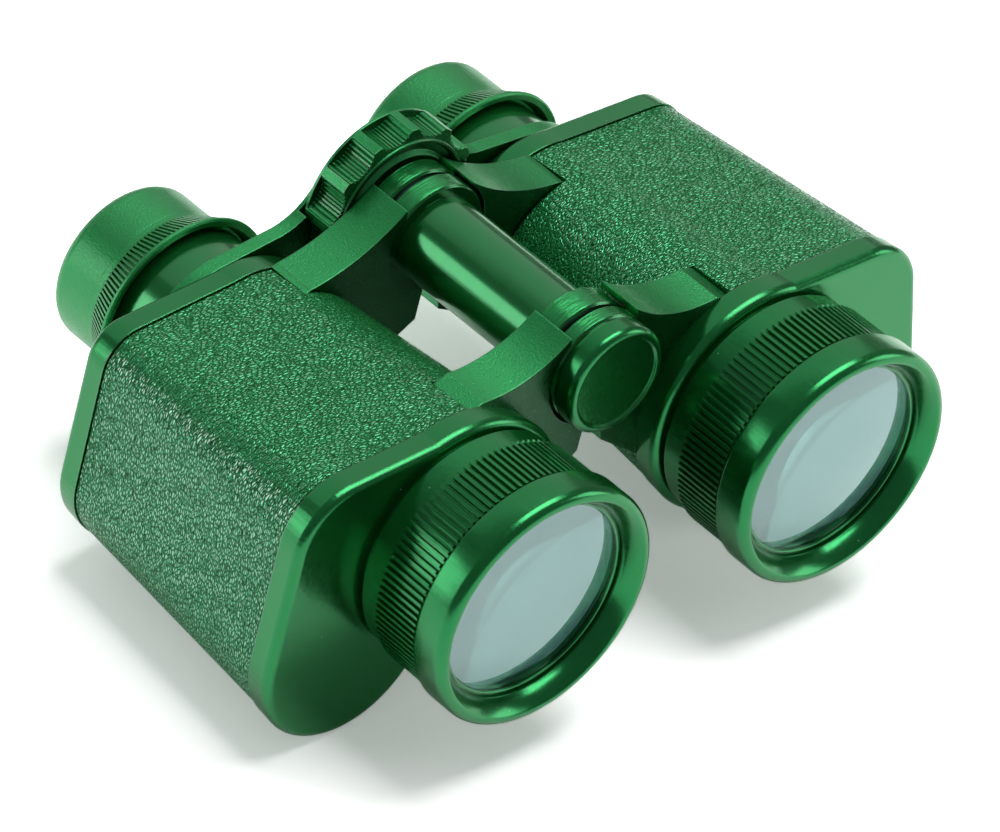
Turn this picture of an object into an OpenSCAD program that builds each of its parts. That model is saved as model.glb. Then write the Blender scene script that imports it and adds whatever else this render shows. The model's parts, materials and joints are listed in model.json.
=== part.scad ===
// Toy binoculars with a folding centre hinge and a centre focus wheel.
// Millimetres. X runs across, Y from the objectives to the eyepieces, Z up.
// Each half is drawn on the right of the hinge axis and mirrored for the left.

/* [Overall] */
// distance between the two optical axes in the pose shown
eye_spacing = 60; // [57:0.5:64]
// height of the hinge axis above the optical axes
axis_drop = 16; // [14.5:0.25:18]

/* [Objective] */
// outer radius of the smooth rim at the front
bezel_r = 20.85; // [20.6:0.05:21.6]
// length of the smooth rim
bezel_length = 6.35; // [5.6:0.05:7.5]
// width of the rim from its outer edge to the clear lens
rim_width = 4.45; // [4.1:0.05:5]
// depth of the flare from the lip to the lens edge
flare_depth = 3.2; // [2.6:0.1:3.6]
// step down from the rim to the ribbed barrel
barrel_step = 0.65; // [0.5:0.05:0.8]
// length of the ribbed part
rib_length = 8.8; // [7:0.1:11]
// number of ribs round the barrel
rib_count = 108; // [90:1:120]
// height of the ribs
rib_height = 0.65; // [0.5:0.05:0.75]
// length of the smooth collar behind the ribs
collar_length = 4.25; // [3:0.05:5]
// width of the groove between the collar and the front cover
groove_width = 0.65; // [0.5:0.05:1.5]
// thickness of the objective lens at its edge
lens_edge = 2; // [1.6:0.1:2.4]
// spherical radius of the lens faces
lens_curve = 95; // [80:1:160]

/* [Housing] */
// thickness of the front cover
front_cover_length = 4.8; // [4:0.1:6]
// length of the grained housing between the covers
body_length = 46.5; // [42:0.5:52]
// thickness of the rear cover
rear_cover_length = 4.7; // [4:0.1:5.4]
// step down from the rim to the round part of the housing, about the optical axis
bulge_step = 0.4; // [0.3:0.05:0.5]
// how much smaller the rear outline is than the front outline, all round
taper = 4.35; // [3.6:0.05:4.6]
// height of the flat top above the optical axis
box_top = 19.2; // [18:0.1:20]
// radius of the upper corners
corner_r = 11; // [10:0.25:12]
// distance from the optical axis to the inner upper corner centre
corner_in = 15.5; // [14:0.25:17]
// distance from the optical axis to the outer upper corner centre
corner_out = 21.4; // [19:0.2:24]
// radius of the round foot
foot_r = 16; // [14:0.25:17]
// distance from the optical axis out to the foot centre
foot_out = 19.6; // [18:0.2:22]
// depth of the foot centre below the optical axis
foot_drop = 12.9; // [11:0.1:15]
// rounding of the cover edges
edge_r = 1.3; // [0.8:0.1:1.8]
// thickness of the grained skin
skin_thickness = 1.2; // [1:0.05:1.4]
// how far the covers stand proud of the skin
rim_step = 0.25; // [0.15:0.05:0.4]
// wall thickness of the housing
wall = 2; // [1.8:0.1:2.2]

/* [Hinge] */
// outer radius of the knuckles
knuckle_r = 9.35; // [8.6:0.05:9.8]
// width of the front outer knuckle
front_outer_width = 3; // [2.6:0.1:3.6]
// width of the front inner knuckle
front_inner_width = 4.8; // [4:0.1:5.6]
// width of the rear inner knuckle
rear_inner_width = 3.8; // [3.2:0.1:4.6]
// width of the rear outer knuckle
rear_outer_width = 3.6; // [3:0.1:4.4]
// thickness of the metal washers
washer_thickness = 0.6; // [0.5:0.05:0.8]
// radius of the washers
washer_r = 8.2; // [8:0.05:8.8]
// outer radius of the smooth tube between the knuckles
hinge_tube_r = 7.4; // [6.8:0.05:8]
// radius of the hinge pin
pin_r = 4.2; // [3.8:0.05:4.6]
// length of the front cap
cap_length = 4.2; // [3.6:0.1:5]
// half of the angle left between the two arms under the hinge
web_angle = 9; // [8.5:0.25:12]
// depth of the arms below the hinge axis
web_low = 14.8; // [13:0.1:16]
// distance from the hinge axis to the upper ends of the arms
lug_x = 6.6; // [6:0.1:7.2]
// radius of the dip in the top of the front arms
front_dip_r = 23.2; // [21:0.2:26]
// radius of the dip in the top of the rear arms
rear_dip_r = 35; // [31:0.5:40]

/* [Focus] */
// outer radius of the focus wheel
wheel_r = 14.5; // [14:0.05:14.8]
// number of ribbed hollows round the wheel
hollow_count = 12; // [10:1:14]
// ribs in each hollow
hollow_ribs = 9; // [7:1:10]
// depth of the hollows
hollow_depth = 1.55; // [1.2:0.05:1.7]
// height of the ribs of the wheel
wheel_rib_height = 0.35; // [0.25:0.05:0.4]
// angle of each plain land between the hollows
land_angle = 6.2; // [5:0.1:8]
// length of the ribbed rim of the wheel
wheel_length = 5.7; // [5.4:0.1:6.2]
// radius of the focus spindle
spindle_r = 2.5; // [2.2:0.05:2.7]
// thickness of the hub of each bridge arm
hub_thickness = 1.2; // [1:0.05:1.5]
// radius of the hub of each bridge arm
hub_r = 9.8; // [9.5:0.1:10.5]
// wall of the ring of each bridge arm round the eyepiece
arm_ring_wall = 1.2; // [1:0.05:1.6]
// thickness of each bridge arm
arm_thickness = 2.55; // [2.2:0.05:3]
// radius of the inner curve of each bridge arm
arm_curve_r = 11.4; // [10.5:0.1:12.5]
// distance of that curve's centre outside the middle of the half
arm_curve_shift = 6.5; // [6:0.1:7]
// length of the focus spindle in front of the bridge
spindle_length = 45; // [40:0.5:48]
// width of the flange on the focus spindle
flange_width = 2.5; // [2:0.1:2.8]
// radius of the bridge screw
screw_r = 1.2; // [1:0.05:1.4]
// length of the bridge screw in the spindle
screw_length = 5.5; // [4:0.1:7]
// radius of the head of the bridge screw
screw_head_r = 4.4; // [4:0.1:5]
// height of the head of the bridge screw
screw_head_height = 2; // [1.8:0.1:2.4]
// width of the slots in the bridge screw
screw_slot = 0.9; // [0.7:0.05:1.1]

/* [Eyepiece] */
// outer radius of the eyepiece tube
eye_tube_r = 13.8; // [13.4:0.05:14.2]
// radius of the sliding sleeve inside the housing
sleeve_r = 11.1; // [10.6:0.05:11.2]
// length of the tube from the rear cover to the eyecup skirt
eye_tube_length = 8.85; // [8:0.05:10]
// length of the sliding sleeve in front of its guide
sleeve_reach = 5; // [4:0.1:7]
// step from the eyepiece tube out to the eyecup ring
cup_ring_step = 2.5; // [2.2:0.05:3.2]
// length of the smooth edge of the eyecup ring
cup_ring_length = 0.9; // [0.8:0.05:1.2]
// length of the ribbed cone of the eyecup
cup_cone_length = 4.7; // [4.2:0.1:5.2]
// depth of the slots between the ribs of the eyecup
cup_rib_depth = 0.7; // [0.5:0.05:0.8]
// depth of the hollow skirt in front of the eyecup
skirt_depth = 2.3; // [2:0.1:2.6]
// number of ribs round the eyecup
cup_rib_count = 120; // [100:1:130]
// outer radius of the cup
cup_r = 13.75; // [13.5:0.05:14.2]
// length of the cup behind the ribs
cup_length = 10.35; // [9.5:0.05:11]
// radius of the eyepiece lens
eye_lens_r = 9.4; // [9:0.05:9.6]

/* [Fits] */
// radial clearance of turning and sliding fits
running = 0.06; // [0.03:0.01:0.09]
// radial clearance of glued and pressed seats
seat = 0.03; // [0.02:0.01:0.05]
// width of the open seams between pieces
seam = 0.3; // [0.2:0.05:0.4]
// clearance round the turning knuckles
knuckle_gap = 0.5; // [0.4:0.05:0.7]

/* [Hidden] */
$fn = 72;
axis_x = eye_spacing / 2;
lens_view_r = bezel_r - rim_width;
barrel_r = bezel_r - barrel_step;
bulge_r = bezel_r - bulge_step;
arm_ring_r = eye_tube_r + arm_ring_wall;
cup_ring_r = eye_tube_r + cup_ring_step;
flange_r = spindle_r + flange_width;
y_rib = bezel_length + 2 * seam;
y_collar = y_rib + rib_length;
y_neck = y_collar + collar_length;
y_cover = y_neck + groove_width;
y_body = y_cover + front_cover_length;
y_back = y_body + body_length;
y_tail = y_back + rear_cover_length;
y_cup = y_tail + 0.5 + eye_tube_length;
y_cone = y_cup + cup_ring_length;
y_satin = y_cone + cup_cone_length;
y_end = y_satin + cup_length;
hinge_height = axis_drop + foot_drop + foot_r;

neck_r = lens_view_r + 1.9;
lens_r = lens_view_r + 1.2;
lens_y = flare_depth + 0.9;
lens_sag = lens_curve - sqrt(lens_curve * lens_curve - lens_r * lens_r);
spigot_r = lens_r + 1.45;
lens_ring_length = 1.9;
shell_in = rim_step + skin_thickness + seat;
hollow_in = shell_in + wall;
cover_wall = shell_in + 0.8;

washer_gap = washer_thickness + 0.15;
y_front_1 = y_body + front_outer_width;
y_front_2 = y_front_1 + washer_gap;
y_front_3 = y_front_2 + front_inner_width;
y_rear_3 = y_back - rear_outer_width - washer_gap - rear_inner_width;
y_rear_2 = y_rear_3 + rear_inner_width;
y_rear_1 = y_rear_2 + washer_gap;
pin_bore_r = spindle_r + running;
tube_seat = 1;
cap_r = knuckle_r - 0.05;
cap_face_r = cap_r - 0.95;
lug_top = knuckle_r + 1.5;
arm_end = axis_x - 4;
rear_dip = bulge_r - taper - axis_drop + 0.05;
front_dip = bulge_r - axis_drop - 1.05;
fill_r = corner_r;
fill_front = 68;
fill_rear = 90;

y_wheel = y_back + 0.6;
y_wheel_end = y_wheel + wheel_length;
y_hub = y_wheel_end + 0.55;
y_arm = y_tail + seam;
y_arm_end = y_arm + arm_thickness;
y_hub_end = y_hub + 2 * hub_thickness + 0.1;
lip_r = wheel_r - 2.1;
land_phase = 23.5;
pin_end = y_back + 3.8;
journal_r = spindle_r + 0.5;

cup_seat_r = cup_r - 1.5;
cup_skirt_r = (cup_ring_r + eye_tube_r) / 2;
eye_bore_r = sleeve_r - 1.4;
eye_shoulder_r = eye_lens_r - 1.2;
y_eye_lens = y_satin + 0.75;
y_skirt = y_cup + skirt_depth;
eye_lens_length = 3;
y_eye_ring = y_eye_lens + eye_lens_length + 0.05;
eye_ring_length = 1.5;
y_seat_end = y_eye_ring + eye_ring_length + 0.1;
guide_length = 6;
guide_r = sleeve_r + running + 1.1;

// corner and foot circles of the housing, from the optical axis: x, z, radius
corners = [[corner_in, box_top - corner_r, corner_r],
           [corner_out, box_top - corner_r, corner_r],
           [foot_out, -foot_drop, foot_r]];

moulded = [0.16, 0.45, 0.22];
gloss = [0.18, 0.5, 0.26];
grained = [0.13, 0.4, 0.18];
metal = [0.62, 0.66, 0.72];
dark = [0.06, 0.16, 0.09];
clear = [0.8, 0.88, 0.86, 0.5];

// inward step of the tapering outline at a place along Y
function inset(y) = taper * (y - y_cover) / (y_tail - y_cover);

// height of the lens face over its edge, at a radius
function dome(r) = lens_sag - lens_curve + sqrt(lens_curve * lens_curve - r * r);

// quarter round from angle a to angle b about a centre
function bend(cx, cy, r, a, b, n = 5) = [for (i = [0 : n])
    let (t = a + (b - a) * i / n)
    [cx + r * cos(t), cy + r * sin(t)]];

// toothed ring outline: count teeth, each with a narrower crest
function teeth(count, root, crest) = [for (i = [0 : count - 1], k = [0 : 3])
    let (step = 360 / count, t = step * (i + [0, 0.12, 0.5, 0.62][k]), r = [root, crest, crest, root][k])
    [r * cos(t), r * sin(t)]];

// rim of the wheel: plain lands with ribbed hollows between them
function wheel_rim() = [for (i = [0 : hollow_count - 1], k = [0 : 4 * hollow_ribs + 1])
    let (pitch = 360 / hollow_count,
         start = land_phase + i * pitch,
         m = (k + 2) % 4,
         u = k < 2 ? 0 : (floor((k - 2) / 4) + [0.12, 0.27, 0.73, 0.88][m]) / hollow_ribs,
         a = k < 2 ? start + (k - 0.5) * land_angle : start + land_angle / 2 + u * (pitch - land_angle),
         low = k < 2 ? 0 : hollow_depth * (1 - pow(abs(2 * u - 1), 2.5)) + [1, 0, 0, 1][m] * wheel_rib_height)
    [(wheel_r - low) * cos(a), (wheel_r - low) * sin(a)]];

// centre of the circle that fills the top of the housing out to the round part
function fill_at(y) =
    let (t = fill_front + (fill_rear - fill_front) * (y - y_cover) / (y_tail - y_cover),
         r = bulge_r - fill_r - 0.15)
    [r * cos(t), 0, r * sin(t)];

module placed() {
    translate([0, -y_end / 2, hinge_height])
        children();
}

module half(side) {
    placed()
        mirror([side == "left" ? 1 : 0, 0, 0])
            children();
}

module on_axis() {
    translate([axis_x, 0, -axis_drop])
        children();
}

// straight and tapering rods along Y
module rod(r, y0, y1) {
    translate([0, y0, 0])
        rotate([-90, 0, 0])
            cylinder(r = r, h = y1 - y0);
}

module taper_rod(r0, r1, y0, y1) {
    translate([0, y0, 0])
        rotate([-90, 0, 0])
            cylinder(r1 = r0, r2 = r1, h = y1 - y0);
}

// children moved to one place at y0 and leaning to another place at y1
module leaning(from, to, y0, y1) {
    lean = (to - from) / (y1 - y0);
    translate(from - y0 * lean)
        multmatrix([[1, lean[0], 0, 0], [0, 1, 0, 0], [0, lean[2], 1, 0]])
            children();
}

// turned shape about Y from points of radius and Y
module turned(points) {
    rotate([-90, 0, 0])
        rotate_extrude()
            polygon(points);
}

// flat outline in X and Z, from y0 to y1
module slab(y0, y1) {
    translate([0, y1, 0])
        rotate([90, 0, 0])
            linear_extrude(height = y1 - y0)
                children();
}

// tapering housing form, drawn inwards all round
module housing(y0, y1, inward) {
    a = inward + inset(y0);
    b = inward + inset(y1);
    on_axis() {
        hull() {
            for (c = corners)
                translate([c[0], 0, c[1]])
                    taper_rod(c[2] - a, c[2] - b, y0, y1);
            leaning(fill_at(y0), fill_at(y1), y0, y1)
                taper_rod(fill_r - a, fill_r - b, y0, y1);
        }
        taper_rod(bulge_r - a, bulge_r - b, y0, y1);
    }
}

// covers: the same outline with a rounded outer edge
function front_profile(r) = concat([[0, y_cover]], bend(r - edge_r, y_cover + edge_r, edge_r, 270, 360),
    [[r - inset(y_body), y_body], [0, y_body]]);
function rear_profile(r) = concat([[0, y_back], [r - inset(y_back), y_back]],
    bend(r - inset(y_tail) - edge_r, y_tail - edge_r, edge_r, 0, 90), [[0, y_tail]]);

module front_plate() {
    on_axis() {
        hull() {
            for (c = corners)
                translate([c[0], 0, c[1]])
                    turned(front_profile(c[2]));
            translate(fill_at(y_body))
                turned(front_profile(fill_r));
        }
        turned(front_profile(bulge_r));
    }
}

module rear_plate() {
    on_axis() {
        hull() {
            for (c = corners)
                translate([c[0], 0, c[1]])
                    turned(rear_profile(c[2]));
            translate(fill_at(y_back))
                turned(rear_profile(fill_r));
        }
        turned(rear_profile(bulge_r));
    }
}

// arm between the hinge and the housing, grown all round for cut-outs
module arm(y0, y1, dip_x, dip_low, dip_r, chamfer, grow = 0) {
    mid = bulge_r - inset((y0 + y1) / 2) - shell_in - wall / 2;
    a = tan(web_angle);
    difference() {
        slab(y0 - grow, y1 + grow)
            polygon([[lug_x, lug_top],
                     [arm_end + grow, lug_top],
                     [arm_end + grow, -axis_drop],
                     [axis_x - mid * cos(30), -axis_drop - mid * sin(30) - grow],
                     [web_low * a, -web_low - grow],
                     [knuckle_r * 0.8 * a, -knuckle_r * 0.8],
                     [lug_x, -knuckle_r * 0.4]]);
        translate([dip_x, 0, dip_low + dip_r + grow])
            rod(dip_r, y0 - 1, y1 + 1);
        if (grow == 0)
            slab(y0 - 1, y1 + 1)
                polygon([[arm_end - 2 * chamfer, dip_low + 0.12],
                         [arm_end + 1, dip_low + 0.12 - chamfer],
                         [arm_end + 1, lug_top + 1],
                         [arm_end - 2 * chamfer, lug_top + 1]]);
    }
}

module front_arm(grow = 0) {
    arm(y_body, y_front_3, 0.7 * axis_x, front_dip, front_dip_r, 1.3, grow);
}

module rear_arm(grow = 0) {
    arm(y_rear_3, y_back, 0.95 * axis_x, rear_dip, rear_dip_r, 0.5, grow);
}

// knuckle with softened edges
module knuckle(y0, y1) {
    e = 0.35;
    turned([[0, y0], [knuckle_r - e, y0], [knuckle_r, y0 + e],
            [knuckle_r, y1 - e], [knuckle_r - e, y1], [0, y1]]);
}

module body_shell(side) {
    outer = side == "right";
    clear_r = knuckle_r + knuckle_gap;
    color(moulded)
        half(side)
            difference() {
                union() {
                    housing(y_body, y_back, shell_in);
                    difference() {
                        union() {
                            front_arm();
                            rear_arm();
                        }
                        rod(clear_r, outer ? y_front_1 : y_body - 1, outer ? y_front_3 + 1 : y_front_2);
                        rod(clear_r, outer ? y_rear_3 - 1 : y_rear_2, outer ? y_rear_1 : y_back + 1);
                    }
                    knuckle(outer ? y_body : y_front_2, outer ? y_front_1 : y_front_3);
                    knuckle(outer ? y_rear_1 : y_rear_3, outer ? y_back : y_rear_2);
                }
                housing(y_body - 0.01, y_back + 0.01, hollow_in);
                rod(pin_r + (outer ? seat : running), y_body - 1, y_back + 1);
                if (!outer)
                    rod(hinge_tube_r + seat, y_front_3 - tube_seat, y_rear_3 + tube_seat);
            }
}

module grip_cover(side) {
    color(grained)
        half(side)
            difference() {
                housing(y_body + seam, y_back - seam, rim_step);
                housing(y_body, y_back, rim_step + skin_thickness);
                front_arm(seam);
                rear_arm(seam);
            }
}

module front_cover(side) {
    color(gloss)
        half(side)
            difference() {
                front_plate();
                difference() {
                    housing(y_cover + 2.2, y_body + 0.01, cover_wall);
                    on_axis()
                        rod(neck_r + 1.6, y_cover, y_body + 1);
                }
                on_axis()
                    rod(neck_r + seat, y_cover - 1, y_body + 1);
            }
}

module rear_cover(side) {
    color(gloss)
        half(side)
            difference() {
                union() {
                    difference() {
                        rear_plate();
                        housing(y_back - 0.01, y_tail - 2.2, cover_wall);
                    }
                    on_axis()
                        rod(guide_r, y_back - guide_length, y_tail - 1);
                }
                on_axis()
                    rod(sleeve_r + running, y_back - guide_length - 1, y_tail + 1);
            }
}

module objective_barrel(side) {
    root = barrel_r - rib_height;
    collar_r = root - 0.1;
    color(gloss)
        half(side)
            on_axis()
                difference() {
                    union() {
                        rod(spigot_r, lens_y, y_rib);
                        slab(y_rib, y_collar)
                            polygon(teeth(rib_count, root, barrel_r));
                        turned([[0, y_collar - 0.1], [collar_r, y_collar - 0.1], [collar_r, y_neck - 0.4],
                                [collar_r - 0.4, y_neck], [0, y_neck]]);
                        rod(neck_r, y_neck, y_body - 0.05);
                    }
                    rod(lens_r + seat, lens_y - 1, lens_y + lens_edge + lens_ring_length + 0.05);
                    rod(lens_view_r - 0.2, lens_y, y_body + 1);
                }
}

module objective_bezel(side) {
    e = 1.6;
    color(gloss)
        half(side)
            on_axis()
                turned(concat([[lens_view_r, lens_y - dome(lens_view_r) - 0.05],
                               [lens_view_r, flare_depth + 0.25],
                               [lens_view_r + 0.15, flare_depth + 0.1],
                               [lens_view_r + 0.4, flare_depth + 0.1],
                               [lens_view_r + 0.4, flare_depth + 0.5],
                               [lens_view_r + 0.75, flare_depth + 0.5],
                               [lens_view_r + 0.75, flare_depth - 0.35],
                               [lens_view_r + 1.6, flare_depth * 0.42],
                               [bezel_r - e - 0.35, 0.15]],
                              bend(bezel_r - e, e, e, 270, 360),
                              [[bezel_r, bezel_length - 0.5], [bezel_r - 0.5, bezel_length],
                               [spigot_r + seat, bezel_length], [spigot_r + seat, lens_y - 0.05],
                               [lens_r, lens_y - 0.05]]));
}

module objective_lens(side) {
    steps = [for (i = [0 : 12]) lens_r * i / 12];
    color(clear)
        half(side)
            on_axis()
                turned(concat([for (i = [0 : 12]) [steps[i], lens_y - dome(steps[i])]],
                              [for (i = [12 : -1 : 0]) [steps[i], lens_y + lens_edge + dome(steps[i])]]));
}

module objective_ring(side) {
    y0 = lens_y + lens_edge + 0.02;
    color(dark)
        half(side)
            on_axis()
                turned([[lens_view_r, y0 + dome(lens_view_r)], [lens_r, y0], [lens_r, y0 + lens_ring_length],
                        [lens_view_r, y0 + lens_ring_length]]);
}

module eyepiece_tube(side) {
    y0 = y_back - guide_length - sleeve_reach;
    y1 = y_tail + 0.5;
    color(gloss)
        half(side)
            on_axis()
                turned(concat([[eye_bore_r, y0], [sleeve_r, y0], [sleeve_r, y1]],
                              bend(eye_tube_r - 0.5, y1 + 0.5, 0.5, 270, 360, 3),
                              [[eye_tube_r, y_skirt], [cup_seat_r, y_skirt], [cup_seat_r, y_seat_end],
                               [eye_lens_r + seat, y_seat_end], [eye_lens_r + seat, y_eye_lens - 0.02],
                               [eye_shoulder_r, y_eye_lens - 0.02], [eye_shoulder_r, y_eye_lens - 2],
                               [eye_bore_r, y_eye_lens - 3.5]]));
}

module eyecup(side) {
    top = cup_ring_r - 0.25;
    slope = (top - cup_r - 0.1) / cup_cone_length;
    e = 2.2;
    color(moulded)
        half(side)
            on_axis() {
                difference() {
                    union() {
                        turned([[cup_skirt_r, y_cup + 0.2], [cup_ring_r - 0.3, y_cup],
                                [cup_ring_r, y_cup + 0.3], [cup_ring_r, y_cone - 0.2],
                                [cup_ring_r - 0.15, y_cone], [top - cup_rib_depth, y_cone + 0.01],
                                [cup_r + 0.2 - cup_rib_depth, y_satin - 0.3],
                                [cup_r + 0.05, y_satin - 0.25], [cup_r, y_satin + 0.8],
                                [cup_r, y_satin + 1], [cup_seat_r - 0.5, y_satin + 1],
                                [cup_seat_r - 0.5, y_cup + 0.2]]);
                        turned(concat([[eye_lens_r - 0.2, y_seat_end + 0.05], [cup_r - 0.5, y_seat_end - 3],
                                       [cup_r, y_satin + 0.9]],
                                      bend(cup_r - e, y_end - e, e, 0, 90),
                                      bend(cup_r - e - 0.4, y_end - 0.4, 0.4, 90, 180, 3)));
                        intersection() {
                            slab(y_cone - 0.3, y_satin)
                                polygon(teeth(cup_rib_count, cup_r - 1.5, cup_ring_r + 1));
                            taper_rod(top + 0.3 * slope, cup_r + 0.1, y_cone - 0.3, y_satin);
                        }
                    }
                    rod(cup_seat_r + seat, y_cup, y_seat_end + 0.05);
                    taper_rod(cup_skirt_r + 0.1, cup_skirt_r - 0.8, y_cup - 0.1, y_skirt);
                }
            }
}

module eyepiece_lens(side) {
    bowl = eye_lens_r - 1.6;
    y1 = y_eye_lens + eye_lens_length;
    color(clear)
        half(side)
            on_axis()
                turned(concat([for (i = [0 : 8]) [bowl * i / 8, y_eye_lens + 0.6 * (1 - pow(i / 8, 2))]],
                              [[eye_lens_r, y_eye_lens], [eye_lens_r, y1]],
                              [for (i = [8 : -1 : 0]) [bowl * i / 8, y1 - 1.4 * (1 - pow(i / 8, 2))]]));
}

module eyepiece_ring(side) {
    y1 = y_eye_ring + eye_ring_length;
    color(dark)
        half(side)
            on_axis()
                difference() {
                    rod(eye_lens_r, y_eye_ring, y1);
                    taper_rod(eye_shoulder_r - 0.3, eye_shoulder_r + 0.6, y_eye_ring - 0.01, y1 + 0.01);
                }
}

// outline of a bridge arm from the hub to the ring round the eyepiece
function arm_outline(lower) = let (x = 0.5 * axis_x + arm_curve_shift, z = arm_curve_r - 0.1 - lower)
    concat([[0, 0], [hub_r * 0.4, hub_r * 0.7]],
           bend(x, z, arm_curve_r, 205, 268, 10),
           [[axis_x + arm_ring_r * cos(84), -axis_drop + arm_ring_r * sin(84) - lower],
            [axis_x, -axis_drop],
            [axis_x - arm_ring_r * 0.94, -axis_drop - arm_ring_r * 0.3],
            [hub_r * 0.55, -hub_r * 0.8]]);

// arm from the spindle to the eyepiece, with its own half of the hub
module bridge_arm(side) {
    y0 = side == "left" ? y_hub : y_hub + hub_thickness + 0.1;
    y1 = y0 + hub_thickness;
    wheel_clear_r = wheel_r + 0.75;
    hub_clear_r = hub_r + 0.6;
    color(moulded)
        half(side)
            difference() {
                union() {
                    difference() {
                        union() {
                            slab(y_arm, y_arm_end)
                                polygon(arm_outline(0));
                            intersection() {
                                slab(y_hub, y1)
                                    polygon(arm_outline(1.5));
                                rod(wheel_clear_r + 4, y_hub - 1, y1 + 1);
                            }
                        }
                        rod(wheel_clear_r, y_arm - 1, y_hub);
                        rod(hub_clear_r, y_arm - 1, y0);
                    }
                    rod(hub_r, y0, y1);
                    on_axis()
                        rod(arm_ring_r, y_arm, y_arm_end);
                }
                on_axis()
                    rod(eye_tube_r + seat, y_arm - 1, y_hub_end + 1);
                rod(journal_r + (side == "left" ? running : seat), y_hub - 1, y_hub_end + 1);
            }
}

module hinge_pin() {
    y0 = y_body - 1.6;
    bead = pin_r + 0.3;
    color(metal)
        placed()
            difference() {
                union() {
                    rod(pin_r, y0, pin_end);
                    turned([[0, pin_end - 0.8], [pin_r, pin_end - 0.8], [bead, pin_end - 0.5],
                            [bead, pin_end - 0.3], [pin_r, pin_end], [0, pin_end]]);
                }
                rod(pin_bore_r, y0 - 1, pin_end + 1);
            }
}

module hinge_tube() {
    color(moulded)
        placed()
            difference() {
                rod(hinge_tube_r, y_front_3 - tube_seat + 0.02, y_rear_3 + tube_seat - 0.02);
                rod(hinge_tube_r - 1.6, y_front_3 - tube_seat - 1, y_rear_3 + tube_seat + 1);
            }
}

module hinge_washers() {
    color(metal)
        placed()
            for (y = [y_front_1 + 0.02, y_rear_1 - washer_thickness - 0.02])
                difference() {
                    rod(washer_r, y, y + washer_thickness);
                    rod(pin_r + seat, y - 1, y + washer_thickness + 1);
                }
}

module hinge_cap() {
    y0 = y_body - 0.02 - cap_length;
    y1 = y_body - 0.02;
    face = cap_face_r - 0.7;
    color(gloss)
        placed()
            turned(concat([[0, y0 + 0.35], [face, y0 + 0.35], [face + 0.25, y0]],
                          bend(cap_face_r - 0.2, y0 + 1.2, 1.2, 270, 350),
                          [[cap_r, y1 - 0.6], [cap_r - 0.3, y1], [pin_r + seat, y1],
                           [pin_r + seat, y1 - 1.7], [0, y1 - 1.7]]));
}

module focus_wheel() {
    web = y_back + 0.5;
    lip = y_wheel - 0.35;
    back = y_wheel_end + 0.25;
    color(moulded)
        placed()
            difference() {
                union() {
                    turned([[0, web], [knuckle_r + 0.3, web], [knuckle_r + 0.9, web + 0.7],
                            [lip_r - 0.9, web + 0.7], [lip_r - 0.5, lip + 0.1], [lip_r - 0.4, lip],
                            [lip_r - 0.1, lip], [lip_r, lip + 0.1], [lip_r, y_wheel_end], [0, y_wheel_end]]);
                    difference() {
                        slab(y_wheel, y_wheel_end)
                            polygon(wheel_rim());
                        rod(lip_r - 0.2, y_wheel - 1, y_wheel_end - 1);
                    }
                    turned([[0, y_wheel_end - 0.3], [wheel_r - 0.1, y_wheel_end - 0.3],
                            [wheel_r - 0.1, back - 0.1], [wheel_r - 0.2, back], [0, back]]);
                }
                rod(pin_r + running, web - 1, pin_end - 0.9);
                rod(pin_r + 0.7, pin_end - 0.9, pin_end + 0.4);
                rod(spindle_r + running, pin_end, back + 1);
                rod(flange_r + 1.2, y_wheel_end - 0.9, back + 1);
            }
}

module focus_spindle() {
    color(metal)
        placed()
            difference() {
                union() {
                    rod(spindle_r, y_hub - spindle_length, y_hub);
                    rod(flange_r, y_wheel_end - 0.7, y_hub - 0.1);
                    rod(journal_r, y_hub - 0.2, y_hub_end - 0.05);
                }
                rod(screw_r + seat, y_hub - screw_length - 0.5, y_hub_end + 1);
            }
}

module bridge_screw() {
    head = y_hub_end + 0.02;
    slot_y = head + screw_head_height / 2 + 0.1;
    color(metal)
        placed()
            difference() {
                union() {
                    rod(screw_r, y_hub - screw_length, y_hub_end + 0.5);
                    turned(concat([[0, head], [screw_head_r, head]],
                                  bend(screw_head_r - 1.2, head + screw_head_height - 1.2, 1.2, 0, 90),
                                  [[0, head + screw_head_height]]));
                }
                translate([-screw_slot / 2, slot_y, -screw_head_r - 1])
                    cube([screw_slot, screw_head_height, 2 * screw_head_r + 2]);
                translate([-screw_head_r - 1, slot_y, -screw_slot / 2])
                    cube([2 * screw_head_r + 2, screw_head_height, screw_slot]);
            }
}

body_shell("right");  // right_body_shell
grip_cover("right");  // right_grip_cover
front_cover("right");  // right_front_cover
rear_cover("right");  // right_rear_cover
objective_barrel("right");  // right_objective_barrel
objective_bezel("right");  // right_objective_bezel
objective_lens("right");  // right_objective_lens
objective_ring("right");  // right_objective_ring
eyepiece_tube("right");  // right_eyepiece_tube
eyecup("right");  // right_eyecup
eyepiece_lens("right");  // right_eyepiece_lens
eyepiece_ring("right");  // right_eyepiece_ring
bridge_arm("right");  // right_bridge_arm
body_shell("left");  // left_body_shell
grip_cover("left");  // left_grip_cover
front_cover("left");  // left_front_cover
rear_cover("left");  // left_rear_cover
objective_barrel("left");  // left_objective_barrel
objective_bezel("left");  // left_objective_bezel
objective_lens("left");  // left_objective_lens
objective_ring("left");  // left_objective_ring
eyepiece_tube("left");  // left_eyepiece_tube
eyecup("left");  // left_eyecup
eyepiece_lens("left");  // left_eyepiece_lens
eyepiece_ring("left");  // left_eyepiece_ring
bridge_arm("left");  // left_bridge_arm
hinge_pin();
hinge_tube();
hinge_washers();
hinge_cap();
focus_wheel();
focus_spindle();
bridge_screw();
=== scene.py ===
"""Looks for the toy binoculars: green moulded plastic, grained skins and clear lenses on a pale floor."""

import json
import math

import bmesh
import bpy
from mathutils import Matrix, Vector


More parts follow.
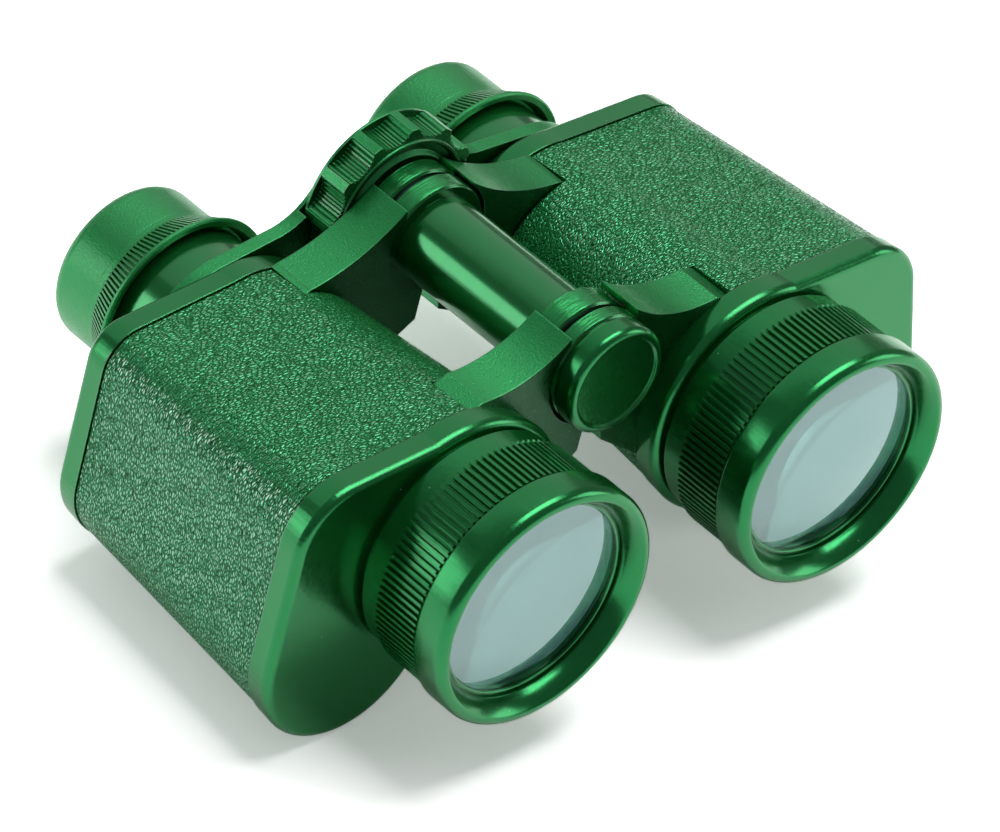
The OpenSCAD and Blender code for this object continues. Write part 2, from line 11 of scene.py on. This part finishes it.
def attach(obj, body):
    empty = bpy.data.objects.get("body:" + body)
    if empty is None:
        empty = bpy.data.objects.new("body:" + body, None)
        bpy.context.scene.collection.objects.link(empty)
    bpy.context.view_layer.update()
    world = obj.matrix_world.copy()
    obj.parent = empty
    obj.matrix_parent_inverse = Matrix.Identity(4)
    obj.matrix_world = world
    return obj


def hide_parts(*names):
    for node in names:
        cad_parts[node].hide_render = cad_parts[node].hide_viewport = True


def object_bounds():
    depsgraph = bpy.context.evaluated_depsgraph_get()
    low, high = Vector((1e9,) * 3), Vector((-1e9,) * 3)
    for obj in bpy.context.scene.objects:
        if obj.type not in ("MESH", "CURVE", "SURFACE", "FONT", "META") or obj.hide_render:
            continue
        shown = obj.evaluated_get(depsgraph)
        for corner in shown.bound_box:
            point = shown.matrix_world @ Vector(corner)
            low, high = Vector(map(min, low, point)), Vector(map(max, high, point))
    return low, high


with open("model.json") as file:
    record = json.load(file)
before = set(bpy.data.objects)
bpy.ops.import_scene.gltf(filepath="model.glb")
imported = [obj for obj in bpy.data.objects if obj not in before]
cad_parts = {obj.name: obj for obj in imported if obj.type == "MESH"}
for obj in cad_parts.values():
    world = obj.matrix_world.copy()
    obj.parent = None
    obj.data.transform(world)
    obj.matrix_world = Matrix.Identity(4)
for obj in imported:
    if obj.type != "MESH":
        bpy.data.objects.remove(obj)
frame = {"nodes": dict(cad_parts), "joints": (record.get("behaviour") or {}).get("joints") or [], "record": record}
cad_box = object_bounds()
nodes = frame["nodes"]
rim_mount = next(mount for mount in frame["record"]["mounts"] if mount["name"] == "right_objective_rim")
fold_joint = next(joint for joint in frame["joints"] if joint["name"] == "fold")

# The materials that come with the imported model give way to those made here.
for packed in list(bpy.data.materials):
    bpy.data.materials.remove(packed)

MM = 0.001

# Places of the CAD part, taken from the frame, in millimetres.
AXIS_X = rim_mount["pos_m"][0] / MM     # optical axes, either side of the hinge
OPTIC_Z = rim_mount["pos_m"][2] / MM    # optical axes above the floor
HINGE_Z = fold_joint["pos_m"][2] / MM   # hinge axis above the floor
LIP_Y = cad_box[0][1] / MM              # front lip of the objectives
KNUCKLE_R = 9.5                         # just outside the hinge knuckles

# Objective lens, in millimetres. Depths are measured back from the front lip.
LENS_R = 17.6
LENS_DEPTH = 4.1        # front of the lens's edge
LENS_EDGE = 2.0         # thickness of that edge
LENS_CURVE = 95.0       # radius of curvature of both faces
LENS_STEPS = 40         # rings from the middle of a face to its edge

# Objective bezel, in millimetres, from the clear opening to the heel.
VIEW_R = 16.4           # clear opening
SEAT_GAP = 0.05         # play between the lens and its seat
RING_DEPTH = 3.30       # face of the narrow ring round the opening
RING_WIDTH = 0.40
RING_ROUND = 0.16
GROOVE_DEPTH = 3.70     # floor of the groove outside that ring
GROOVE_WIDTH = 0.35
FLARE_DEPTH = 2.83      # foot of the flare
FLARE_ROUND = 0.15
FLARE_START = (17.28, 2.60)
FLARE_BEND = (17.75, 1.30)
FLARE_MOUTH = (18.85, 0.22)
LIP_BEND = (19.02, 0.03)
LIP_ROUND = 1.6
BEZEL_R = rim_mount["dims"]["r_mm"]
BEZEL_LENGTH = 6.35
HEEL_ROUND = 0.45
RECESS_R = 19.08        # recess at the back, for the barrel's spigot

# Meshes turned about the optical axes.
SEGMENTS = 192
POLE_R = 1e-6           # a smaller radius is a single point on the axis
SHARP_ANGLE = 34        # degrees between faces that stay a sharp edge

# Plastic colours, linear: the body of the plastic, from creases to crowns. The darkest is painted shade, for the
# skin's creases and for faces that look to the front; the crown colour is painted light on the tops of the skin's
# pebbles.
GREEN_PAINTED_SHADE = (0.001, 0.018, 0.003)
GREEN_DEEP = (0.002, 0.034, 0.006)
GREEN = (0.003, 0.056, 0.010)
GREEN_PALE = (0.006, 0.082, 0.018)
GREEN_SKIN = (0.008, 0.122, 0.022)
# Painted light: the crowns of the skin's pebbles are paler.
GREEN_CROWN_PAINTED_LIGHT = (0.010, 0.150, 0.028)

# Tints of what the plastic mirrors, on the smooth pieces and on the grained skins.
POLISH = (0.11, 1.0, 0.32, 1.0)
GLINT = (0.16, 1.0, 0.48, 1.0)

# Other colours, linear.
DUST = (0.25, 0.45, 0.32, 1)
LENS_DEEP = (0.40, 0.63, 0.61)
LENS_PALE = (0.45, 0.67, 0.65)
BLACK_DEEP = (0.004, 0.010, 0.006)
BLACK_PALE = (0.012, 0.022, 0.015)
STEEL_DEEP = (0.10, 0.15, 0.20)
STEEL_PALE = (0.22, 0.28, 0.34)
WHITE = (1, 1, 1, 1)

# Polished plastic: its refraction, and the cosines of turn between which a rounded edge comes to shine.
POLISH_IOR = 2.2
EDGE_START = 0.995
EDGE_FULL = 0.90

# Stage, in metres and watts.
FLOOR_HALF = 6          # half the width of the floor
FLOOR_GAIN = 3.0        # how much brighter the floor is seen and mirrored than it lights the object
FLOOR_LIFT = 0.26       # glow that keeps the shadows pale to the camera
SKY_STRENGTH = 0.20
MIDDLE = (0, 0, 0.03)   # what the lamps point at
LAMPS = {
    "overhead": {"place": (0.28, 0.0, 1.10), "size": (0.75, 0.75), "power": 10.0},
    "back": {"place": (0.40, 1.20, 0.95), "size": (2.2, 1.4), "power": 4.6},
    "left": {"place": (-0.85, 0.68, 0.30), "size": (0.42, 0.52), "power": 1.9},
    "right": {"place": (0.95, -0.60, 0.34), "size": (0.45, 0.5), "power": 2.2},
}

# Camera, fitted to the two lens rims and the hinge in the photograph, in degrees, metres and
# millimetres of film.
AZIMUTH = -44.96
ELEVATION = 38.15
ROLL = 7.36
TARGET = (-0.03382, -0.03584, 0.05721)
DISTANCE = 1.306
FOCAL_LENGTH = 319.8
FILM_WIDTH = 36
FILM_SHIFT = (0.0184, 0.0012)
CLIP = (0.01, 100)


class Shader:
    """A material under construction: one Principled shader and short calls that add nodes to it."""

    def __init__(self, name):
        self.material = bpy.data.materials.new(name)
        self.material.use_nodes = True
        self.tree = self.material.node_tree
        self.bsdf = self.tree.nodes["Principled BSDF"]

    def add(self, kind, inputs=None, **settings):
        """A new node with its settings made and its inputs filled."""
        node = self.tree.nodes.new(kind)
        for key, value in settings.items():
            setattr(node, key, value)
        for key, value in (inputs or {}).items():
            self.put(node.inputs[key], value)
        return node

    def put(self, socket, value):
        """Links an output to the socket, or sets a constant on it."""
        if isinstance(value, bpy.types.NodeSocket):
            self.tree.links.new(value, socket)
        else:
            socket.default_value = value

    def set(self, **inputs):
        """Fills inputs of the Principled shader, named with underscores for spaces."""
        for key, value in inputs.items():
            self.put(self.bsdf.inputs[key.replace("_", " ")], value)

    def place(self):
        """The place on the object, in metres."""
        return self.add("ShaderNodeTexCoord").outputs["Object"]

    def scaled(self, vector, scale):
        return self.add("ShaderNodeMapping", {"Vector": vector, "Scale": scale}).outputs["Vector"]

    def coords(self, scale=(1, 1, 1)):
        return self.scaled(self.place(), scale)

    def noise(self, vector, scale, detail=3.0, roughness=0.5, distortion=0.0, output="Fac"):
        node = self.add("ShaderNodeTexNoise", {"Vector": vector, "Scale": scale, "Detail": detail,
                                               "Roughness": roughness, "Distortion": distortion})
        return node.outputs[output]

    def ramp(self, fac, *stops):
        """A colour between stops of (position, colour)."""
        node = self.add("ShaderNodeValToRGB", {"Fac": fac})
        elements = node.color_ramp.elements
        while len(elements) < len(stops):
            elements.new(0.5)
        for element, (position, colour) in zip(elements, stops):
            element.position = position
            element.color = (*colour, 1)
        return node.outputs["Color"]

    def levels(self, value, given, wanted=(0.0, 1.0)):
        """The value carried from a given range to a wanted one, and held at its ends."""
        node = self.add("ShaderNodeMapRange", {"Value": value, "From Min": given[0], "From Max": given[1],
                                               "To Min": wanted[0], "To Max": wanted[1]})
        return node.outputs["Result"]

    def math(self, operation, a, b):
        return self.add("ShaderNodeMath", {0: a, 1: b}, operation=operation).outputs["Value"]

    def vector(self, operation, a, b, output="Vector"):
        return self.add("ShaderNodeVectorMath", {0: a, 1: b}, operation=operation).outputs[output]

    def mix(self, factor, a, b, data_type="FLOAT"):
        node = self.add("ShaderNodeMix", {"Factor": factor, "A": a, "B": b}, data_type=data_type)
        return node.outputs["Result"]

    def polish(self, level, coat, coat_roughness=0.07, coat_ior=1.5):
        """Dense green polish: it mirrors the studio in green, paler at grazing angles and in a clear coat."""
        self.set(IOR=POLISH_IOR, Specular_IOR_Level=level, Specular_Tint=POLISH)
        self.set(Coat_Weight=coat, Coat_Roughness=coat_roughness, Coat_IOR=coat_ior)

    def edge(self, radius):
        """The normal with edges rounded by a radius in millimetres."""
        return self.add("ShaderNodeBevel", {"Radius": radius * MM}, samples=6).outputs["Normal"]

    def normal(self):
        return self.add("ShaderNodeNewGeometry").outputs["Normal"]

    def worn(self, rounded, flat, edge):
        """A level that goes from one value on a flat face to another on its rounded edge."""
        turn = self.vector("DOT_PRODUCT", self.normal(), rounded, "Value")
        return self.levels(turn, (EDGE_START, EDGE_FULL), (flat, edge))

    def forward(self):
        """How far a face looks to the front: 1 straight ahead, 0 sideways, below 0 to the back."""
        return self.vector("DOT_PRODUCT", self.normal(), (0, -1, 0), "Value")

    def from_axis(self, x, z):
        """Distance from a line along Y, in metres, with the line's place in millimetres."""
        flat = self.vector("MULTIPLY", self.place(), (1, 0, 1))
        return self.vector("DISTANCE", flat, (x * MM, 0, z * MM), "Value")

    def bump(self, relief, depth, normal=None):
        """The normal of a relief, whose depth is in millimetres, on a normal or else on the plain face."""
        node = self.add("ShaderNodeBump", {"Height": relief, "Distance": depth * MM, "Strength": 1.0})
        if normal is not None:
            self.put(node.inputs["Normal"], normal)
        return node.outputs["Normal"]


def grained_plastic():
    """Leatherette: round-topped pebbles with tight creases, longer across the housing than along it; the creases
    are painted darker as painted shade and the crowns paler as painted light.
    """
    look = Shader("green_grained")
    plain = look.coords()
    warp = look.noise(plain, scale=620.0, detail=2.0, output="Color")
    shift = look.vector("MULTIPLY", warp, (0.9 * MM, 0.7 * MM, 0.9 * MM))
    stretched = look.scaled(look.vector("ADD", plain, shift), (1.0, 2.4, 1.0))
    pebbles = look.add("ShaderNodeTexVoronoi", {"Vector": stretched, "Scale": 1060.0},
                       feature="DISTANCE_TO_EDGE")
    fall = look.levels(pebbles.outputs["Distance"], (0.0, 0.45), (1.0, 0.0))
    crown = look.math("SUBTRACT", 1.0, look.math("POWER", fall, 2.0))
    wrinkle = look.noise(stretched, scale=2500.0, detail=2.0, distortion=0.4)
    swell = look.noise(plain, scale=85.0, detail=1.0)
    height = look.math("ADD", crown, look.math("MULTIPLY", wrinkle, 0.2))
    relief = look.math("ADD", height, look.math("MULTIPLY", swell, 2.5))
    # Painted shade and light: the colour is darkest in the creases and palest on the crowns, as if shaded and lit.
    look.set(Base_Color=look.ramp(height, (0.15, GREEN_PAINTED_SHADE), (0.4, GREEN_SKIN), (1.0, GREEN_CROWN_PAINTED_LIGHT)),
             Roughness=look.levels(height, (0.2, 1.0), (0.45, 0.16)),
             Normal=look.bump(relief, depth=0.14, normal=look.edge(radius=0.3)))
    gloss = look.levels(height, (0.2, 0.7), (0.05, 0.70))
    look.set(IOR=2.4, Specular_IOR_Level=gloss, Specular_Tint=GLINT)
    coat = look.levels(height, (0.75, 1.0), (0.0, 0.9))
    look.set(Coat_Weight=coat, Coat_Roughness=0.13, Coat_IOR=2.1)
    return look.material


def gloss_plastic(name, edge):
    """Polished moulding: faint flow marks, hairline scratches, a trace of orange peel and a little dust."""
    look = Shader(name)
    plain = look.coords()
    flow = look.noise(plain, scale=45.0, distortion=1.2)
    hair = look.noise(look.coords((900.0, 60.0, 500.0)), scale=3.0, detail=4.0, roughness=0.7)
    peel = look.noise(plain, scale=700.0, detail=1.0)
    dust = look.levels(look.noise(plain, scale=1500.0, detail=1.0), (0.80, 0.86))
    green = look.ramp(flow, (0.25, GREEN_DEEP), (0.8, GREEN))
    relief = look.math("ADD", peel, look.math("MULTIPLY", hair, 0.6))
    rounded = look.edge(radius=edge)
    look.set(Base_Color=look.mix(dust, green, DUST, "RGBA"),
             Roughness=look.levels(hair, (0.35, 0.75), (0.17, 0.28)),
             Normal=look.bump(relief, depth=0.012, normal=rounded))
    look.polish(level=0.62, coat=look.worn(rounded, flat=0.03, edge=1.0), coat_roughness=0.08, coat_ior=1.7)
    return look.material


def turned_plastic():
    """Polished round pieces with fine turning lines round the axis."""
    look = Shader("green_turned")
    flow = look.noise(look.coords(), scale=60.0, detail=2.0)
    lines = look.noise(look.coords((25.0, 5200.0, 25.0)), scale=1.0, roughness=0.65)
    look.set(Base_Color=look.ramp(flow, (0.25, GREEN_DEEP), (0.7, GREEN)),
             Roughness=look.levels(lines, (0.3, 0.7), (0.13, 0.24)),
             Normal=look.bump(lines, depth=0.010, normal=look.edge(radius=0.4)))
    look.polish(level=0.62, coat=0.45)
    return look.material


def moulded_plastic():
    """Satin moulding: a fine speckle, turned streaks on the knuckles, and painted shade on front faces, which are
    made darker and duller.
    """
    look = Shader("green_moulded")
    plain = look.coords()
    flow = look.noise(plain, scale=60.0, distortion=0.8)
    speckle = look.noise(plain, scale=3000.0, detail=2.0, roughness=0.6)
    streaks = look.noise(look.coords((45.0, 3600.0, 45.0)), scale=1.0, roughness=0.7)
    knuckle = look.math("LESS_THAN", look.from_axis(0, HINGE_Z), KNUCKLE_R * MM)
    relief = look.mix(knuckle, speckle, streaks)
    satin = look.levels(speckle, (0.3, 0.7), (0.26, 0.38))
    shine = look.levels(streaks, (0.35, 0.65), (0.10, 0.22))
    rounded = look.edge(radius=0.3)
    # Painted shade: faces that look to the front are made darker in colour, for the shade they lie in.
    front = look.levels(look.forward(), (0.4, 0.9))
    flow_and_painted_shade = look.math("SUBTRACT", flow, look.math("MULTIPLY", front, 0.5))
    green = look.ramp(flow_and_painted_shade, (0.0, GREEN_PAINTED_SHADE), (0.25, GREEN_DEEP), (0.6, GREEN), (0.9, GREEN_PALE))
    look.set(Base_Color=green,
             Roughness=look.mix(knuckle, satin, shine),
             Normal=look.bump(relief, depth=0.07, normal=rounded))
    # Painted shade: faces that look to the front also mirror less.
    gloss = look.levels(front, (0.0, 1.0), (0.92, 0.25))
    look.polish(level=gloss, coat=look.worn(rounded, flat=0.10, edge=1.0), coat_roughness=0.15, coat_ior=1.7)
    return look.material


def satin_plastic():
    """Eyecup satin: an even speckle, duller than on the arms."""
    look = Shader("green_satin")
    plain = look.coords()
    flow = look.noise(plain, scale=50.0, detail=2.0)
    speckle = look.noise(plain, scale=2800.0, detail=2.0, roughness=0.6)
    look.set(Base_Color=look.ramp(flow, (0.25, GREEN), (0.8, GREEN_PALE)),
             Roughness=look.levels(speckle, (0.3, 0.7), (0.32, 0.46)),
             Normal=look.bump(speckle, depth=0.08, normal=look.edge(radius=0.15)))
    look.polish(level=0.80, coat=0.3, coat_roughness=0.2)
    return look.material


def clear_lens():
    """Clear acrylic with a pale mirror coat and faint wipe marks."""
    look = Shader("lens")
    wipe = look.noise(look.coords((60.0, 300.0, 60.0)), scale=4.0, detail=4.0, roughness=0.7)
    tint = look.noise(look.coords(), scale=30.0, detail=2.0)
    look.set(Base_Color=look.ramp(tint, (0.3, LENS_DEEP), (0.7, LENS_PALE)),
             Roughness=look.levels(wipe, (0.4, 0.8), (0.02, 0.07)))
    look.set(Metallic=0.36, Transmission_Weight=1.0, IOR=1.49)
    return look.material


def dark_plastic():
    """Dark dull plastic of the rings behind the lenses."""
    look = Shader("dark_ring")
    speckle = look.noise(look.coords(), scale=2600.0, detail=2.0)
    look.set(Base_Color=look.ramp(speckle, (0.3, BLACK_DEEP), (0.8, BLACK_PALE)),
             Roughness=look.levels(speckle, (0.3, 0.7), (0.35, 0.55)),
             Normal=look.bump(speckle, depth=0.03))
    return look.material


def steel():
    """Bluish steel with fine rings round the axis and faint stains."""
    look = Shader("steel")
    rings = look.noise(look.coords((40.0, 3000.0, 40.0)), scale=2.0)
    stain = look.noise(look.coords(), scale=400.0)
    look.set(Base_Color=look.ramp(stain, (0.3, STEEL_DEEP), (0.7, STEEL_PALE)),
             Roughness=look.levels(rings, (0.3, 0.7), (0.26, 0.44)),
             Normal=look.bump(rings, depth=0.02))
    look.set(Metallic=1.0)
    return look.material


materials = {material.name: material for material in (
    grained_plastic(), gloss_plastic("green_gloss", edge=0.4), gloss_plastic("green_ribbed", edge=0.12),
    turned_plastic(), moulded_plastic(), satin_plastic(), clear_lens(), dark_plastic(), steel())}

FINISH = {
    "body_shell": "green_moulded", "grip_cover": "green_grained", "front_cover": "green_gloss",
    "rear_cover": "green_gloss", "objective_barrel": "green_ribbed", "objective_bezel": "green_gloss",
    "objective_lens": "lens", "objective_ring": "dark_ring", "eyepiece_tube": "green_turned",
    "eyecup": "green_satin", "eyepiece_lens": "lens", "eyepiece_ring": "dark_ring",
    "bridge_arm": "green_moulded", "hinge_pin": "steel", "hinge_tube": "green_turned",
    "hinge_washers": "steel", "hinge_cap": "green_gloss", "focus_wheel": "green_moulded",
    "focus_spindle": "steel", "bridge_screw": "steel",
}
for name, node in nodes.items():
    kind = name.removeprefix("left_").removeprefix("right_")
    node.data.materials.clear()
    node.data.materials.append(materials[FINISH[kind]])


def arc(centre, radius, start, end, count):
    """Points of an arc as (radius, depth), from one angle to another in degrees."""
    angles = [math.radians(start + (end - start) * i / count) for i in range(count + 1)]
    return [(centre[0] + radius * math.cos(a), centre[1] + radius * math.sin(a)) for a in angles]


def curve(a, b, c, count):
    """Points of a bent line from a to c, pulled towards b."""
    steps = [i / count for i in range(count + 1)]
    return [tuple((1 - t) ** 2 * a[k] + 2 * t * (1 - t) * b[k] + t * t * c[k] for k in (0, 1)) for t in steps]


def turned(name, profile, x, closed=True):
    """A mesh turned about the optical axis at x, from points of (radius, depth) in millimetres."""
    verts, faces, rings = [], [], []
    for radius, depth in profile:
        count = 1 if radius < POLE_R else SEGMENTS
        rings.append(range(len(verts), len(verts) + count))
        for i in range(count):
            angle = 2 * math.pi * i / SEGMENTS
            across = x + radius * math.cos(angle)
            up = OPTIC_Z + radius * math.sin(angle)
            verts.append((across * MM, (LIP_Y + depth) * MM, up * MM))
    following = rings[1:] + rings[:1] if closed else rings[1:]
    for low, high in zip(rings, following):
        for i in range(SEGMENTS):
            j = (i + 1) % SEGMENTS
            corners = (low[i % len(low)], low[j % len(low)], high[j % len(high)], high[i % len(high)])
            face = list(dict.fromkeys(corners))
            if len(face) > 2:
                faces.append(face)
    mesh = bpy.data.meshes.new(name)
    mesh.from_pydata(verts, [], faces)
    shell = bmesh.new()
    shell.from_mesh(mesh)
    bmesh.ops.recalc_face_normals(shell, faces=shell.faces)
    shell.to_mesh(mesh)
    shell.free()
    mesh.shade_smooth()
    mesh.set_sharp_from_angle(angle=math.radians(SHARP_ANGLE))
    piece = bpy.data.objects.new(name, mesh)
    bpy.context.scene.collection.objects.link(piece)
    return piece


def stand_in(piece, node, body, finish):
    """Puts a finer mesh in the place of a CAD node, on the same body."""
    piece.data.materials.append(materials[finish])
    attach(piece, body)
    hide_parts(node)


def dome(radius):
    """How far a face of the lens stands out over its edge at a radius."""
    return math.sqrt(LENS_CURVE ** 2 - radius ** 2) - math.sqrt(LENS_CURVE ** 2 - LENS_R ** 2)


def lens_profile():
    """Both faces of an objective lens, from the middle of the front to the middle of the back."""
    steps = [LENS_R * i / LENS_STEPS for i in range(LENS_STEPS + 1)]
    front = [(r, LENS_DEPTH - dome(r)) for r in steps]
    back = [(r, LENS_DEPTH + LENS_EDGE + dome(r)) for r in reversed(steps)]
    return front + back


def bezel_profile():
    """Outline of a bezel, from its clear opening over the flare, lip and heel to the recess at its back."""
    ring_r = VIEW_R + RING_WIDTH
    groove_r = ring_r + GROOVE_WIDTH
    lip_r = BEZEL_R - LIP_ROUND
    shoulder = LENS_DEPTH - SEAT_GAP
    seat = [(VIEW_R, shoulder - dome(VIEW_R))]
    ring = arc((VIEW_R + RING_ROUND, RING_DEPTH + RING_ROUND), RING_ROUND, 180, 270, count=4)
    groove = [(ring_r, RING_DEPTH), (ring_r, GROOVE_DEPTH), (groove_r, GROOVE_DEPTH)]
    foot = arc((groove_r + FLARE_ROUND, FLARE_DEPTH), FLARE_ROUND, 180, 205, count=3)
    flare = curve(FLARE_START, FLARE_BEND, FLARE_MOUTH, count=12)
    # The next two start where the one before them ends, so their first points are left out.
    mouth = curve(FLARE_MOUTH, LIP_BEND, (lip_r, 0.0), count=6)[1:]
    lip = arc((lip_r, LIP_ROUND), LIP_ROUND, 270, 360, count=16)[1:]
    heel = arc((BEZEL_R - HEEL_ROUND, BEZEL_LENGTH - HEEL_ROUND), HEEL_ROUND, 0, 90, count=6)
    recess = [(RECESS_R, BEZEL_LENGTH), (RECESS_R, shoulder), (LENS_R, shoulder)]
    return seat + ring + groove + foot + flare + mouth + lip + heel + recess


for side, axis_x in (("right", AXIS_X), ("left", -AXIS_X)):
    glass = turned(f"{side}_lens_glass", lens_profile(), axis_x, closed=False)
    stand_in(glass, f"{side}_objective_lens", f"{side}_half", "lens")
    bezel = turned(f"{side}_bezel_rim", bezel_profile(), axis_x)
    stand_in(bezel, f"{side}_objective_bezel", f"{side}_half", "green_gloss")


def stage():
    """Pale floor: seen and mirrored bright, so that it goes white away from the object's shadow."""
    floor_mesh = bpy.data.meshes.new("floor")
    corners = [(x * FLOOR_HALF, y * FLOOR_HALF, 0) for x, y in ((-1, -1), (1, -1), (1, 1), (-1, 1))]
    floor_mesh.from_pydata(corners, [], [(0, 1, 2, 3)])
    floor = bpy.data.objects.new("floor", floor_mesh)
    bpy.context.scene.collection.objects.link(floor)
    look = Shader("floor")
    grain = look.noise(look.coords(), scale=40.0, detail=2.0)
    paper = look.levels(grain, (0.3, 0.7), (0.49, 0.51))
    path = look.add("ShaderNodeLightPath").outputs
    mirrored = look.math("MAXIMUM", path["Is Glossy Ray"], path["Is Transmission Ray"])
    shown = look.math("MAXIMUM", path["Is Camera Ray"], mirrored)
    bright = look.math("MULTIPLY", paper, look.levels(shown, (0.0, 1.0), (1.0, FLOOR_GAIN)))
    grey = look.add("ShaderNodeCombineColor", {"Red": bright, "Green": bright, "Blue": bright})
    lift = look.math("MULTIPLY", path["Is Camera Ray"], FLOOR_LIFT)
    look.set(Base_Color=grey.outputs["Color"], Roughness=1.0, Specular_IOR_Level=0.0)
    look.set(Emission_Color=WHITE, Emission_Strength=lift)
    floor_mesh.materials.append(look.material)


def lamp(name, place, size, power):
    """A white area lamp that points at the middle of the object."""
    data = bpy.data.lights.new(name, "AREA")
    data.shape = "RECTANGLE"
    data.size, data.size_y = size
    data.energy = power
    obj = bpy.data.objects.new(name, data)
    obj.location = place
    aim = Vector(MIDDLE) - Vector(place)
    obj.rotation_euler = aim.to_track_quat("-Z", "Y").to_euler()
    bpy.context.scene.collection.objects.link(obj)


def studio():
    """A dim white surround and four lamps."""
    world = bpy.data.worlds.new("studio")
    bpy.context.scene.world = world
    world.use_nodes = True
    background = world.node_tree.nodes["Background"]
    background.inputs["Color"].default_value = WHITE
    background.inputs["Strength"].default_value = SKY_STRENGTH
    for name, settings in LAMPS.items():
        lamp(name, **settings)


def camera():
    """The photograph's camera: it stands back from the target and rolls about its line of sight."""
    az, el, roll = (math.radians(angle) for angle in (AZIMUTH, ELEVATION, ROLL))
    back = Vector((math.sin(az) * math.cos(el), -math.cos(az) * math.cos(el), math.sin(el)))
    right = Vector((math.cos(az), math.sin(az), 0))
    up = back.cross(right)
    side = right * math.cos(roll) + up * math.sin(roll)
    top = up * math.cos(roll) - right * math.sin(roll)
    data = bpy.data.cameras.new("camera")
    data.sensor_width = FILM_WIDTH
    data.lens = FOCAL_LENGTH
    data.shift_x, data.shift_y = FILM_SHIFT
    data.clip_start, data.clip_end = CLIP
    obj = bpy.data.objects.new("camera", data)
    turn = Matrix((side, top, back)).transposed().to_4x4()
    obj.matrix_world = Matrix.Translation(Vector(TARGET) + back * DISTANCE) @ turn
    bpy.context.scene.collection.objects.link(obj)
    bpy.context.scene.camera = obj


stage()
studio()
camera()
bpy.context.scene.view_settings.view_transform = "Standard"
